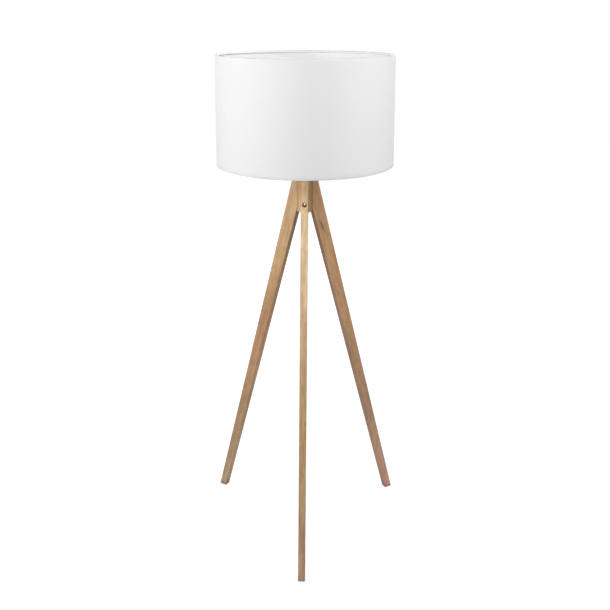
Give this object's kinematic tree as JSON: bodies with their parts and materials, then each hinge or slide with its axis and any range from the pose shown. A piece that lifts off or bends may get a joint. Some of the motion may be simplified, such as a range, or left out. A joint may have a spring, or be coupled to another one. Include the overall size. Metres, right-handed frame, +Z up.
{
  "type": "tripod floor lamp",
  "caption": "Floor lamp: tapered wooden legs bolted to a hexagonal hub, and a white, faintly tapered fabric drum shade clamped on a screw lampholder.",
  "frame": {"origin": "the floor point under the lamp's axis, midway between the feet", "axes": "+Z up along the lamp's axis; the front leg points to -Y"},
  "size_m": [0.607, 0.595, 1.467],
  "materials": {
    "oak": "oiled, straight grain",
    "hub_oak": "oiled, straight grain",
    "dowel_beech": "raw",
    "felt": "dense felt",
    "zinc_steel": "zinc plated",
    "screw_steel": "black oxide",
    "insert_brass": "turned",
    "bushing_plastic": "moulded",
    "plate_steel": "powder coated",
    "holder_plastic": "moulded",
    "core_ceramic": "unglazed",
    "contact_metal": "stamped",
    "shade_fabric": "fine plain weave, white",
    "shade_pvc": "laminate, white",
    "white_wire": "powder coated",
    "opal": "opal, satin",
    "bulb_white": "moulded",
    "bulb_metal": "nickel plated",
    "insulator_black": "black glass",
    "board": "white solder mask"
  },
  "bodies": {
    "stand": {"leg_front": "oak", "leg_left": "oak", "leg_right": "oak", "foot_pads": "felt", "hub_block": "hub_oak", "leg_bolts": "screw_steel", "leg_washers": "screw_steel", "leg_inserts": "insert_brass", "leg_dowels": "dowel_beech", "threaded_tube": "zinc_steel", "tube_nuts": "zinc_steel", "tube_washer": "zinc_steel", "top_plate": "plate_steel", "cord_bushing": "bushing_plastic", "holder_cap": "holder_plastic", "lock_screw": "zinc_steel", "holder_skirt": "holder_plastic", "holder_core": "core_ceramic", "terminal_screws": "contact_metal", "screw_shell": "contact_metal", "centre_contact": "contact_metal"},
    "shade": {"shade_cover": "shade_fabric", "shade_lining": "shade_pvc", "top_ring": "white_wire", "bottom_ring": "white_wire", "spider_arms": "white_wire", "fitter_ring": "white_wire"},
    "shade_ring": {"shade_ring": "holder_plastic"},
    "bulb": {"bulb_globe": "opal", "led_board": "board", "bulb_housing": "bulb_white", "bulb_cap": "bulb_metal", "bulb_insulator": "insulator_black", "bulb_contact": "bulb_metal"}
  },
  "joints": [
    {"name": "shade_turn", "type": "hinge", "parent": "stand", "child": "shade", "pos_m": [0, 0, 1.187], "axis": [0, 0, 1], "continuous": true},
    {"name": "shade_ring_turn", "type": "hinge", "parent": "stand", "child": "shade_ring", "pos_m": [0, 0, 1.19], "axis": [0, 0, 1], "range_deg": [0, 3600]},
    {"name": "bulb_turn", "type": "hinge", "parent": "stand", "child": "bulb", "pos_m": [0, 0, 1.2], "axis": [0, 0, 1], "range_deg": [0, 2160]}
  ]
}
